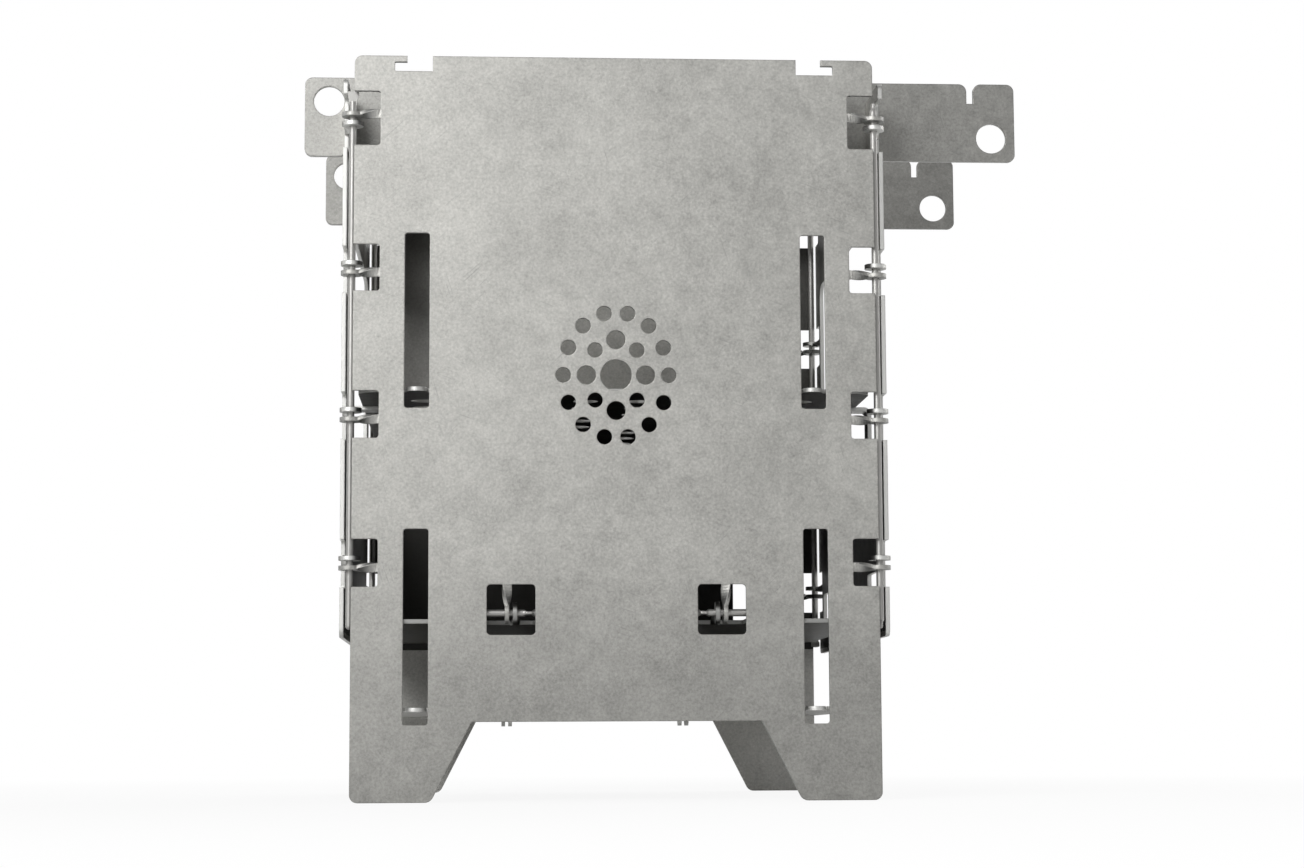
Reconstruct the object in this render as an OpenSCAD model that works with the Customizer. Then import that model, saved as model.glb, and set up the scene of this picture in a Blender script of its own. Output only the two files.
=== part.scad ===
// Folding box stove of sheet steel: four hinged walls on four upright rods,
// two hinged floor plates, a loose fire grate and two hooked pot bars.
// Front is -Y, up is +Z. The origin is on the ground, midway between the feet.

/* [Sheet and rods] */
// Thickness of all the sheet steel
sheet_t = 1.2; // [1:0.1:1.4]
// Diameter of the hinge rods
rod_d = 2; // [1.6:0.1:2.2]
// Gap between a rod and the bore of an eye, all round
rod_gap = 0.05; // [0.03:0.01:0.1]
// Outer diameter of an eye
eye_d = 6; // [5.4:0.1:6.2]
// Width of the twisted strap that carries an eye
strap_w = 2.5; // [2:0.1:3]
// Gap between a rod and the inner face of the wall beside it
wall_gap = 0.5; // [0.3:0.1:0.8]

/* [Box] */
// Distance between neighbouring upright rods
rod_pitch = 145; // [135:1:155]
// Distance of a wall's side edge from the rod's axis, inwards
edge_inset = 0.5; // [0.4:0.1:0.8]
// Height of the front and back walls
wall_h = 205; // [200:1:215]
// Corner radius of the walls
wall_r = 2.2; // [1:0.1:3]
// Height of the side walls' lower edge
side_low = 44.5; // [42:0.5:45]
// How far the side walls' upper edge lies below the front wall's
side_drop = 5.5; // [3:0.1:7]

/* [Feet] */
// Height of the arch between the feet
arch_h = 21.5; // [20:0.1:23]
// Width of the arch at its top
arch_top_w = 78.6; // [60:0.2:84]
// Width of the arch on the ground
arch_low_w = 100.6; // [90:0.2:106]
// How much higher the back wall's arch is than the front wall's
back_arch_rise = 1.3; // [0:0.1:2]
// Radius of a foot's inner toe
toe_r = 2.5; // [1.5:0.1:3]

/* [Corner hinges] */
// Height of the lowest notch's middle
notch_z = 64.5; // [63:0.1:66]
// Distance of the topmost notch's middle from the wall's upper edge
top_notch_drop = 17.6; // [16.6:0.1:18]
// Distance between the lower notches, as a share of the whole span of notches
notch_pitch_share = 0.33; // [0.32:0.005:0.335]
// Height of a notch
notch_h = 13; // [11:0.2:14]
// Height of the topmost notch
top_notch_h = 15.2; // [13:0.1:16]
// Depth of a notch from the wall's side edge
notch_depth = 7.2; // [6.8:0.1:8]
// Corner radius of the notches and slots
notch_r = 0.8; // [0.4:0.1:1.2]
// Distance between the middles of two eyes on one rod
eye_pitch = 2.6; // [2.2:0.1:3.2]

/* [Slots and windows] */
// Distance of the front wall's plate slots from the middle
slot_x = 54.5; // [52:0.5:56]
// Distance of the back wall's plate slots from the middle
back_slot_x = 49; // [46:0.5:50]
// Width of a plate slot
slot_w = 6.8; // [6.4:0.1:7.4]
// Lower end of the grate's slots
grate_slot_low = 106.8; // [105:0.2:108]
// Height of the grate's slots
grate_slot_h = 48.5; // [40:0.1:50]
// Lower end of the ash plate's slots, in the front wall
ash_slot_low = 20.7; // [20:0.1:22]
// Height of the ash plate's slots
ash_slot_h = 53; // [46:0.1:54]
// Height of the floor plate's slots, in the back wall
floor_slot_h = 53.1; // [46:0.1:54]
// Distance of the hinge windows from the middle
window_x = 28.7; // [26:0.1:32]
// Width of a hinge window
window_w = 13.2; // [12:0.1:14]
// Lower end of a hinge window
window_low = 44.9; // [44.5:0.1:45.4]
// Height of a hinge window
window_h = 13.7; // [12.8:0.1:14]
// Corner radius of a hinge window
window_r = 1.1; // [0.6:0.1:1.6]
// Upper end of the back wall's hinge notches
back_window_high = 32; // [31:0.1:33]

/* [Hooks in the upper edge] */
// Distance of a hook slot's mouth from the middle, at its inner side
hook_x = 50.5; // [49:0.5:52]
// Width of the mouth
hook_mouth = 7; // [6:0.1:7.5]
// Depth of the hook slot
hook_depth = 4.3; // [3.5:0.1:5]
// Thickness of the lip over the undercut
hook_lip = 1.7; // [1.4:0.1:2]
// Length of the undercut
hook_under = 3.4; // [3:0.1:4]
// Corner radius of the undercut
hook_r = 0.3; // [0.2:0.1:0.6]

/* [Vent rosette] */
// Height of the rosette's middle
vent_z = 116; // [110:0.5:125]
// Height of the rosette, middle to middle of its outer holes
vent_high = 35; // [30:0.5:38]
// Width of the rosette, middle to middle of its outer holes
vent_wide = 29; // [24:0.5:32]
// Diameter of the middle hole
vent_mid_d = 8.6; // [6:0.1:9]
// Diameter of the inner ring's holes
vent_in_d = 5.2; // [4:0.1:5.6]
// Diameter of the outer ring's holes
vent_out_d = 4.2; // [3:0.1:4.6]

/* [Side walls] */
// Distance of the side window's edge from the rod's axis
side_window_inset = 10.5; // [10:0.1:14]
// Lower edge of the large side window
side_window_low = 96.7; // [94:0.1:98]
// Distance of the large side window from the side wall's upper edge
side_window_drop = 34.8; // [31:0.1:42]
// Corner radius of the large side window
side_window_r = 4; // [2:0.5:8]
// Lower edge of the small side windows
draught_low = 52.3; // [52:0.1:55]
// Height of the small side windows
draught_h = 11; // [8:0.5:12]
// Length of a small side window
draught_w = 24; // [18:1:28]
// Distance of a grate lug's middle from the wall's middle
lug_y = 39.6; // [36:0.2:44]
// Width of a grate lug
lug_w = 6; // [5:0.5:8]
// Reach of a grate lug, from the wall's inner face
lug_reach = 8; // [6:0.5:9]
// Inner radius of a lug's bend
lug_bend_r = 1; // [0.6:0.1:1.4]

/* [Floor plate and ash plate] */
// Height of the floor plate's rod
floor_rod_z = 50.9; // [50.6:0.1:51.2]
// How far the floor plate lies below its rod
floor_drop = 2.25; // [2:0.05:2.5]
// Height of the ash plate's rod
ash_rod_z = 24.2; // [24:0.1:24.6]
// How far the ash plate lies above its rod
ash_rise = 0.6; // [0.4:0.1:0.8]
// Gap between a plate's side edge and a side wall
plate_side_gap = 3.3; // [2.5:0.1:4]
// Gap between a plate's edge and the wall it meets
plate_end_gap = 0.1; // [0.1:0.05:0.3]
// Gap between the ash plate's edge and the widest part of its rod
rod_side_gap = 0.4; // [0.3:0.05:0.8]
// Gap between a plate's free edge and the wall with its slots
plate_free_gap = 2; // [1.5:0.1:3]
// Corner radius of the plates
plate_r = 5; // [4.6:0.1:7]
// Width of a plate's tab
tab_w = 5.6; // [5:0.1:6]
// How far a tab shows outside the wall
tab_out = 0.5; // [0.2:0.1:1]
// Half length of the plates' rods
plate_rod_half = 44; // [40:0.5:46]
// Distance of a crimp from the middle of the plates' rods
crimp_x = 23.8; // [22:0.2:24.2]

/* [Fire grate] */
// Height of the grate's underside
grate_z = 111.45; // [111:0.05:112.6]
// Diameter of the grate's holes
grate_hole_d = 7; // [5:0.1:8]
// Distance between the grate's holes
grate_hole_pitch = 15.2; // [14:0.1:16]

/* [Pot bars] */
// Length of a bar
bar_l = 205; // [200:0.2:205.4]
// Height of a bar
bar_h = 23; // [21:0.5:25]
// Corner radius of a bar
bar_r = 2.2; // [1:0.1:4]
// How far a bar reaches down below the side walls' upper edge
bar_sink = 16.9; // [15.5:0.1:17.5]
// Distance of a slit from the bar's end
slit_x = 12.9; // [12.6:0.1:14.6]
// Width of a slit
slit_w = 1.9; // [1.8:0.1:2.4]
// Width of a slit's mouth
slit_mouth = 6.5; // [4.5:0.1:7]
// Depth of a slit
slit_depth = 5.8; // [4.6:0.1:6.4]
// Diameter of the hanging hole
hang_d = 8.7; // [7:0.1:9.5]
// Distance of the hanging hole from the end and the near edge
hang_in = 6.9; // [6.6:0.1:7.5]
// Distance of the front bar from the front rods
front_bar_inset = 25.5; // [22.5:0.5:28.5]
// Distance of the rear bar from the rear rods
rear_bar_inset = 18.5; // [15.5:0.5:22.5]
// Gap between a bar and the notch it stands in, on each side
bar_gap = 0.6; // [0.4:0.1:1]

/* [Upright rods] */
// Height of the rods' lower end
rod_low = 46.5; // [45.5:0.5:50]
// How far the rods' upper end lies below the front wall's upper edge
rod_drop = 11.5; // [10.5:0.1:12]
// Length of a crimped rod end
crimp_l = 2; // [1.4:0.1:2.2]
// Width of a crimped rod end
crimp_w = 2.9; // [2.5:0.1:3.2]
// Thickness of a crimped rod end
crimp_t = 1.1; // [0.8:0.1:1.3]
// Length of the pull rod's flattened head
paddle_l = 3.9; // [3:0.1:5]
// Width of the pull rod's head at its top
paddle_w = 3.2; // [2.6:0.1:3.6]
// How far the pull rod's upper end lies below the front wall's upper edge
pull_drop = 9.7; // [8:0.1:10]

/* [Hidden] */

// Cuts run past the faces by this much
over = 1;
// Sides of a full circle
$fn = 48;

// Half distance between the rods, and the walls' places from it
half = rod_pitch / 2;
bore_r = rod_d / 2 + rod_gap;
wall_off = rod_d / 2 + wall_gap + sheet_t / 2;
wall_at = half + wall_off;
inner_face = wall_at - sheet_t / 2;
outer_face = wall_at + sheet_t / 2;
wall_half = half - edge_inset;
strap_root = wall_half - notch_depth;
strap_reach = half - strap_root;
// Each strap starts this deep inside its sheet, and is thinner than the sheet
bury = 0.5;
strap_share = 0.96;
// Share of the eye's offset that the strap's own middle line takes up
lean_share = 0.55;
strap_steps = 8;
// Turn of a strap on its way to the eye, in degrees
strap_turn = 90;
notch_count = 4;

side_high = wall_h - side_drop;
rod_high = wall_h - rod_drop;
pull_high = wall_h - pull_drop;
bar_low = side_high - bar_sink;
front_bar_y = -half + front_bar_inset;
rear_bar_y = half - rear_bar_inset;

plate_half = inner_face - plate_side_gap;
hinge_edge = inner_face - plate_end_gap;
free_edge = inner_face - plate_free_gap;
// The ash plate lies level with its rod, so its edge stops short of it
ash_edge = half - crimp_w / 2 - rod_side_gap;
tab_end = outer_face + tab_out;
floor_z = floor_rod_z - floor_drop;
ash_z = ash_rod_z + ash_rise;
// Gap under a tab that rests in its slot
floor_seat = 0.1;
floor_slot_low = floor_z - sheet_t / 2 - floor_seat;
window_high = window_low + window_h;
// Distance between a wall's eye and a plate's eye on one rod
eye_pair = 2.2;
plate_eye_x = window_x - eye_pair / 2;
wall_eye_x = window_x + eye_pair / 2;
// Gap between the grate and the lugs it lies on
grate_seat = 0.05;
lug_top = grate_z - grate_seat;
side_window_half = half - side_window_inset;
draught_y = side_window_half - draught_w / 2;

bar_left = -wall_at - slit_x;
// Gap between a hooked bar and the notch's floor
hook_seat = 0.05;
left_notch_low = bar_low + slit_depth - hook_seat;
right_notch_low = bar_low - hook_seat;

top_notch_z = wall_h - top_notch_drop;
notch_pitch = (top_notch_z - notch_z) * notch_pitch_share;
function notch_mid(k) = k == notch_count - 1 ? top_notch_z : notch_z + notch_pitch * k;
function notch_tall(k) = k == notch_count - 1 ? top_notch_h : notch_h;
// The end walls carry the lower eye of each pair, but the upper one at the top
function end_eye(k) = notch_mid(k) + (k == notch_count - 1 ? eye_pitch : -eye_pitch) / 2;
function side_eye(k) = notch_mid(k) - (k == notch_count - 1 ? eye_pitch : -eye_pitch) / 2;

// Rectangle with round corners, given by its low and high corners
module soft_rect(x0, z0, x1, z1, r) {
    translate([x0 + r, z0]) square([x1 - x0 - 2 * r, z1 - z0]);
    translate([x0, z0 + r]) square([x1 - x0, z1 - z0 - 2 * r]);
    for (x = [x0 + r, x1 - r])
        for (z = [z0 + r, z1 - r])
            translate([x, z]) circle(r = r);
}

// Both halves of a shape that is the same on the left and the right
module both_sides() {
    children();
    mirror([1, 0]) children();
}

// A flat shape drawn in X and Z, stood up as a sheet about the plane at y
module sheet_xz(y) {
    translate([0, y + sheet_t / 2, 0]) rotate([90, 0, 0])
        linear_extrude(height = sheet_t) children();
}

// A flat shape drawn in Y and Z, stood up as a sheet about the plane at x
module sheet_yz(x) {
    translate([x - sheet_t / 2, 0, 0]) rotate([90, 0, 90])
        linear_extrude(height = sheet_t) children();
}

// A flat shape drawn in X and Y, laid as a sheet about the height z
module sheet_xy(z) {
    translate([0, 0, z - sheet_t / 2]) linear_extrude(height = sheet_t) children();
}

// Corner of a strap's section: w across, t thick, turned by a
function strap_corner(w, t, a) = [t * cos(a) - w * sin(a), t * sin(a) + w * cos(a)] / 2;
function strap_ring(x, lean, a) = [
    for (c = [[1, 1], [-1, 1], [-1, -1], [1, -1]])
        let (p = strap_corner(strap_w * c[0], sheet_t * strap_share * c[1], a))
        [x, lean + p[0], p[1]]
];

// Strap and eye: the strap leaves the sheet's cut edge along +X, as wide as
// strap_w along Z, makes a quarter turn on its way and ends in an eye whose
// bore runs along Z, at the given reach and offset from the sheet.
module strap_eye(reach, offset) {
    run = reach - bore_r - bury;
    rings = concat(
        [strap_ring(-bury, 0, 0)],
        [for (i = [0:strap_steps])
            let (s = i / strap_steps)
            strap_ring(run * s, offset * lean_share * s * s * (3 - 2 * s), strap_turn * s)]
    );
    n = len(rings);
    faces = concat(
        [[0, 2, 1], [0, 3, 2]],
        [[4 * n - 4, 4 * n - 3, 4 * n - 2], [4 * n - 4, 4 * n - 2, 4 * n - 1]],
        [for (i = [0:n - 2])
            for (j = [0:3])
                let (a = 4 * i + j)
                let (b = 4 * i + (j + 1) % 4)
                each [[a, b, a + 4], [b, b + 4, a + 4]]]
    );
    difference() {
        union() {
            polyhedron(points = [for (r = rings) each r], faces = faces, convexity = 4);
            translate([reach, offset, -sheet_t / 2]) cylinder(d = eye_d, h = sheet_t);
        }
        translate([reach, offset, -sheet_t / 2 - over]) cylinder(r = bore_r, h = sheet_t + 2 * over);
    }
}

// The arch: half its width at the top and on the ground, and the lean of its side
arch_top_half = arch_top_w / 2;
arch_low_half = arch_low_w / 2;
arch_lean = atan2(arch_low_half - arch_top_half, arch_h);
// Middle of the circle that rounds a foot's inner toe
toe_x = arch_low_half + toe_r * tan(45 - arch_lean / 2);

// Outline of the arch between the feet, raised by rise, with each toe's corner cut off
module arch(rise) {
    right = [[arch_top_half - rise * tan(arch_lean), arch_h + rise],
        [toe_x - toe_r * cos(arch_lean), toe_r - toe_r * sin(arch_lean)],
        [toe_x, toe_r], [toe_x, -over]];
    left = [for (i = [len(right) - 1:-1:0]) [-right[i][0], right[i][1]]];
    polygon(concat(right, left));
}

// Round toes that fill the cut corners again
module toes() {
    both_sides() translate([toe_x, toe_r]) circle(r = toe_r);
}

// Notches in both side edges of a wall, one for each pair of eyes
module edge_notches() {
    both_sides()
        for (k = [0:notch_count - 1])
            soft_rect(strap_root, notch_mid(k) - notch_tall(k) / 2,
                wall_half + over + notch_r, notch_mid(k) + notch_tall(k) / 2, notch_r);
}

// Hook slots in the upper edge: a mouth with an undercut on its outer side
module hook_slots() {
    mouth_end = hook_x + hook_mouth;
    floor_at = wall_h - hook_depth;
    both_sides() {
        translate([hook_x, floor_at]) square([hook_mouth, hook_depth + over]);
        soft_rect(hook_x, floor_at, mouth_end + hook_under, wall_h - hook_lip, hook_r);
    }
}

// Upright slots for the tabs of a plate
module tab_slots(x, low, tall) {
    both_sides()
        soft_rect(x - slot_w / 2, low, x + slot_w / 2, low + tall, notch_r);
}

// Sheet of the front or the back wall, with the grate's slots at x
module end_wall_sheet(x, rise) {
    difference() {
        soft_rect(-wall_half, 0, wall_half, wall_h, wall_r);
        arch(rise);
        edge_notches();
        hook_slots();
        tab_slots(x, grate_slot_low, grate_slot_h);
    }
    toes();
}

// Straps and eyes of an end wall's two side edges, as seen from inside
module end_wall_eyes() {
    for (m = [0, 1])
        mirror([m, 0, 0])
            for (k = [0:notch_count - 1])
                translate([strap_root, -wall_at, end_eye(k)]) strap_eye(strap_reach, wall_off);
}

// Rosette of round vents: one in the middle and two rings about it
module vents() {
    in_share = 0.56;
    small_share = 0.8;
    in_count = 8;
    out_count = 14;
    translate([0, vent_z]) {
        circle(d = vent_mid_d);
        for (i = [0:in_count - 1])
            translate([vent_wide / 2 * in_share * cos(360 * i / in_count),
                vent_high / 2 * in_share * sin(360 * i / in_count)])
                circle(d = vent_in_d * (i % 2 == 0 ? 1 : small_share));
        for (i = [0:out_count - 1])
            translate([vent_wide / 2 * cos(360 * i / out_count),
                vent_high / 2 * sin(360 * i / out_count)])
                circle(d = vent_out_d);
    }
}

// Eyes that hang from the upper edge of a hinge window, for a rod along X
module hanging_eyes(y, from_z, rod_z, offset) {
    for (m = [0, 1])
        mirror([m, 0, 0])
            translate([wall_eye_x, y, from_z]) rotate([0, 90, 0]) strap_eye(from_z - rod_z, offset);
}

// Front wall: vents, hinge windows of the floor plate, slots for two plates
module front_wall() {
    color("silver") {
        sheet_xz(-wall_at) difference() {
            end_wall_sheet(slot_x, 0);
            tab_slots(slot_x, ash_slot_low, ash_slot_h);
            vents();
            both_sides()
                soft_rect(window_x - window_w / 2, window_low,
                    window_x + window_w / 2, window_high, window_r);
        }
        end_wall_eyes();
        hanging_eyes(-wall_at, window_high, floor_rod_z, wall_off);
    }
}

// Back wall: slots for the floor plate and the hinge notches of the ash plate
module back_wall() {
    color("silver") {
        sheet_xz(wall_at) difference() {
            end_wall_sheet(back_slot_x, back_arch_rise);
            tab_slots(back_slot_x, floor_slot_low, floor_slot_h);
            both_sides()
                soft_rect(window_x - window_w / 2, arch_h - over - window_r,
                    window_x + window_w / 2, back_window_high, window_r);
        }
        mirror([0, 1, 0]) end_wall_eyes();
        hanging_eyes(wall_at, back_window_high, ash_rod_z, -wall_off);
    }
}

// Large side window, with the tongues that carry the grate left standing
module side_window() {
    difference() {
        soft_rect(-side_window_half, side_window_low, side_window_half,
            side_high - side_window_drop, side_window_r);
        both_sides()
            translate([lug_y - lug_w / 2, side_window_low - over])
            square([lug_w, lug_top - side_window_low + over - lug_bend_r - sheet_t]);
    }
}

// Shelf at a tongue's upper end, bent inwards, drawn across the wall
module lug_profile() {
    bend = lug_bend_r + sheet_t;
    translate([bend, -bend]) difference() {
        circle(r = bend);
        circle(r = lug_bend_r);
        translate([0, -bend - over]) square([bend + over, 2 * bend + 2 * over]);
        translate([-bend - over, -bend - over]) square([2 * bend + 2 * over, bend + over]);
    }
    translate([bend, -sheet_t]) square([lug_reach + sheet_t - bend, sheet_t]);
}

// A side wall, drawn as the right one, with the height of its bar notches
module side_wall(notch_low) {
    sheet_yz(wall_at) difference() {
        soft_rect(-wall_half, side_low, wall_half, side_high, wall_r);
        edge_notches();
        side_window();
        both_sides()
            soft_rect(draught_y - draught_w / 2, draught_low,
                draught_y + draught_w / 2, draught_low + draught_h, window_r);
        for (y = [front_bar_y, rear_bar_y])
            translate([y - sheet_t / 2 - bar_gap, notch_low])
                square([sheet_t + 2 * bar_gap, side_high - notch_low + over]);
    }
    for (m = [0, 1])
        mirror([0, m, 0]) {
            for (k = [0:notch_count - 1])
                translate([wall_at, strap_root, side_eye(k)]) rotate([0, 0, 90])
                    strap_eye(strap_reach, wall_off);
            translate([outer_face, lug_y + lug_w / 2, lug_top]) mirror([1, 0, 0])
                rotate([90, 0, 0]) linear_extrude(height = lug_w) lug_profile();
        }
}

module left_wall() {
    color("darkgray") mirror([1, 0, 0]) side_wall(left_notch_low);
}

module right_wall() {
    color("darkgray") side_wall(right_notch_low);
}

// Flattened stretch of a rod, along Z, wide along X
module crimp(l) {
    translate([-crimp_w / 2, -crimp_t / 2, 0]) cube([crimp_w, crimp_t, l]);
}

// Upright rod with both ends crimped so that it can't fall out
module plain_rod() {
    translate([0, 0, rod_low + crimp_l / 2]) cylinder(d = rod_d, h = rod_high - rod_low - crimp_l);
    translate([0, 0, rod_low]) crimp(crimp_l);
    translate([0, 0, rod_high - crimp_l]) crimp(crimp_l);
}

// The crimps of this rod are turned to face the side wall
module front_right_rod() {
    color("gainsboro") translate([half, -half, 0]) rotate([0, 0, 90]) plain_rod();
}

module back_left_rod() {
    color("gainsboro") translate([-half, half, 0]) plain_rod();
}

module back_right_rod() {
    color("gainsboro") translate([half, half, 0]) plain_rod();
}

// Pull rod: a round tip below and a flattened head that widens upwards
module pull_rod() {
    head_low = pull_high - paddle_l;
    color("gainsboro") translate([-half, -half, 0]) {
        translate([0, 0, rod_low + rod_d / 2]) cylinder(d = rod_d, h = head_low - rod_low);
        translate([0, 0, rod_low + rod_d / 2]) sphere(d = rod_d);
        translate([0, crimp_t / 2, head_low]) rotate([90, 0, 0]) linear_extrude(height = crimp_t)
            polygon([[-rod_d / 2, 0], [rod_d / 2, 0], [paddle_w / 2, paddle_l],
                [-paddle_w / 2, paddle_l]]);
    }
}

// Outline of a hinged plate with its tabs at x: the hinge edge is at +Y, with a bay for each eye
module hinged_plate(edge, x) {
    difference() {
        union() {
            soft_rect(-plate_half, -free_edge, plate_half, edge, plate_r);
            both_sides() tab(x);
        }
        both_sides()
            soft_rect(window_x - window_w / 2, strap_root,
                window_x + window_w / 2, edge + over + window_r, window_r);
    }
}

// Tab at x with a round end, reaching out through a slot at -Y
module tab(x) {
    translate([x - tab_w / 2, -tab_end + tab_w / 2])
        square([tab_w, tab_end - tab_w / 2 - free_edge + plate_r]);
    translate([x, -tab_end + tab_w / 2]) circle(d = tab_w);
}

// Straps and eyes on a plate's hinge edge, for a rod along X
module plate_eyes(z, offset) {
    for (m = [0, 1])
        mirror([m, 0, 0])
            translate([plate_eye_x, strap_root, z]) rotate([90, 0, 90])
                strap_eye(strap_reach, offset);
}

module floor_plate() {
    color("dimgray") mirror([0, 1, 0]) {
        sheet_xy(floor_z) hinged_plate(hinge_edge, back_slot_x);
        plate_eyes(floor_z, floor_drop);
    }
}

module ash_plate() {
    color("dimgray") {
        sheet_xy(ash_z) hinged_plate(ash_edge, slot_x);
        plate_eyes(ash_z, -ash_rise);
    }
}

// Rod of a hinged plate, along X, pinched flat beside each pair of eyes
module cross_rod(y, z) {
    translate([-plate_rod_half, y, z]) rotate([0, 90, 0]) cylinder(d = rod_d, h = 2 * plate_rod_half);
    for (x = [-crimp_x, crimp_x])
        translate([x - crimp_l / 2, y, z]) rotate([0, 90, 0]) rotate([0, 0, 90]) crimp(crimp_l);
}

module floor_rod() {
    color("gainsboro") cross_rod(-half, floor_rod_z);
}

module ash_rod() {
    color("gainsboro") cross_rod(half, ash_rod_z);
}

// Loose grate: rows of round holes and two tabs at each end
module fire_grate() {
    count = floor((2 * free_edge - 2 * plate_r) / grate_hole_pitch);
    color("dimgray") sheet_xy(grate_z + sheet_t / 2) difference() {
        union() {
            soft_rect(-plate_half, -free_edge, plate_half, free_edge, plate_r);
            both_sides() {
                tab(slot_x);
                mirror([0, 1]) tab(back_slot_x);
            }
        }
        for (i = [0:count - 1])
            for (j = [0:count - 1])
                translate([(i - (count - 1) / 2) * grate_hole_pitch,
                    (j - (count - 1) / 2) * grate_hole_pitch])
                    circle(d = grate_hole_d);
    }
}

// Slit with a round-lipped mouth, open upwards at height zero
module slit() {
    lip_r = (slit_mouth - slit_w) / 2;
    translate([-slit_w / 2, -slit_depth]) square([slit_w, slit_depth + over]);
    difference() {
        translate([-slit_mouth / 2, -lip_r]) square([slit_mouth, lip_r + over]);
        both_sides() translate([slit_mouth / 2, -lip_r]) circle(r = lip_r);
    }
}

// Bar outline from its left end: the same when turned half round
module bar_sheet() {
    difference() {
        soft_rect(0, 0, bar_l, bar_h, bar_r);
        translate([bar_l - slit_x, bar_h]) slit();
        translate([slit_x, 0]) mirror([0, 1]) slit();
        translate([bar_l - hang_in, hang_in]) circle(d = hang_d);
        translate([hang_in, bar_h - hang_in]) circle(d = hang_d);
    }
}

module front_bar() {
    color("gray") sheet_xz(front_bar_y) translate([bar_left, bar_low]) bar_sheet();
}

module rear_bar() {
    color("gray") sheet_xz(rear_bar_y) translate([bar_left, bar_low]) bar_sheet();
}

front_wall();
back_wall();
left_wall();
right_wall();
pull_rod();
front_right_rod();
back_left_rod();
back_right_rod();
floor_plate();
floor_rod();
ash_plate();
ash_rod();
fire_grate();
front_bar();
rear_bar();
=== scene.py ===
# %% [markdown]
# # Folding sheet-steel stove
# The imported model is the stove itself: laser-cut walls, hinged plates, a grate
# and two bars. This lesson gives the sheets their satin finish, draws five of
# the rods as smooth pinched wire, and sets the white ground, the light and
# the camera.

# %% Load the frame
import math

import bpy
import numpy as np
from mathutils import Matrix, Vector


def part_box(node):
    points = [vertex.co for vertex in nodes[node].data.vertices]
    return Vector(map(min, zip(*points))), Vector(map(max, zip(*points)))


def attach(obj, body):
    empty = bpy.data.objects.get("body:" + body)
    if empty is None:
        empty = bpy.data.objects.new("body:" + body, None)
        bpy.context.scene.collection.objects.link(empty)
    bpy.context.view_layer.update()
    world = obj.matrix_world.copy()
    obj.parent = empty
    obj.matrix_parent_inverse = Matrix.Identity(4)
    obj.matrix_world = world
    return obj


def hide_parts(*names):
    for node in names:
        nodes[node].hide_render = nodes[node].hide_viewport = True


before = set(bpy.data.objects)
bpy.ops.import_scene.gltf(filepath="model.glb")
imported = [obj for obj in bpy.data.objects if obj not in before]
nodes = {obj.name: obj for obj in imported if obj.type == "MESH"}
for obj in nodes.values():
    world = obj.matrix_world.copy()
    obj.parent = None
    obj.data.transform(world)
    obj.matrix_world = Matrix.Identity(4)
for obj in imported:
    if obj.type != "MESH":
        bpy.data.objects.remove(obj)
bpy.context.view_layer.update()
MM = 0.001

# %% [markdown]
# ## Helpers for surfaces
# Each new surface is a grid of points worked out with numpy in one go. The
# grid is closed round one way, and its two ends run to a single point, so a
# rod is one skin with no gap. Building it from arrays keeps the formula in
# sight; stacking ready-made cylinders would leave seams at every pinch.

# %% Mesh from a grid that is closed round one way
def closed_skin(name, rings, low_tip, high_tip):
    """Joins rings (count, around, 3) into one closed skin with a tip at each end.

    Point (i, j) is joined to (i, j + 1) and (i + 1, j), and the count wraps
    round in j. The first and last rings are joined to their tips by fans.
    """
    count, around = rings.shape[:2]
    points = np.concatenate([rings.reshape(-1, 3), [low_tip], [high_tip]])
    i, j = np.meshgrid(np.arange(count - 1), np.arange(around), indexing="ij")
    k = (j + 1) % around
    quads = np.stack([i * around + j, i * around + k, (i + 1) * around + k,
                      (i + 1) * around + j], axis=-1).reshape(-1, 4)
    j = np.arange(around)
    k = (j + 1) % around
    low = np.stack([np.full(around, count * around), k, j], axis=-1)
    top = (count - 1) * around
    high = np.stack([np.full(around, count * around + 1), top + j, top + k], axis=-1)
    mesh = bpy.data.meshes.new(name)
    mesh.from_pydata(points.tolist(), [], quads.tolist() + low.tolist() + high.tolist())
    mesh.shade_smooth()
    mesh.update()
    piece = bpy.data.objects.new(name, mesh)
    bpy.context.scene.collection.objects.link(piece)
    return piece


# %% [markdown]
# ## Rods of pinched wire
# The stove turns on plain 2 mm wire. The maker keeps each rod from sliding out
# by pinching it flat in a press: the round wire swells sideways as it thins,
# with no sharp step. The real shape could be cut by a Boolean, but a pinch has
# no edges, so the rod is drawn as a section that changes along its length: a
# circle between the pinches and a flat, square-shouldered oval inside them.

# %% Section of a rod
WIRE_R = 1.0 * MM
PINCH_HALF_WIDE = 1.42 * MM
PINCH_HALF_THIN = 0.55 * MM
PINCH_SHOULDER = 0.9 * MM
PINCH_SQUARER = 1.4
TIP_DOME = 0.45 * MM


def smooth_step(t):
    """Zero below 0, one above 1, and 3 t squared minus 2 t cubed between."""
    t = np.clip(t, 0.0, 1.0)
    return t * t * (3.0 - 2.0 * t)


def pinch_weight(along, middle, length):
    """One inside a pinch, falling smoothly to zero over a shoulder at each end."""
    away = np.abs(along - middle) - length / 2
    return 1.0 - smooth_step(away / PINCH_SHOULDER + 0.5)


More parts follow.
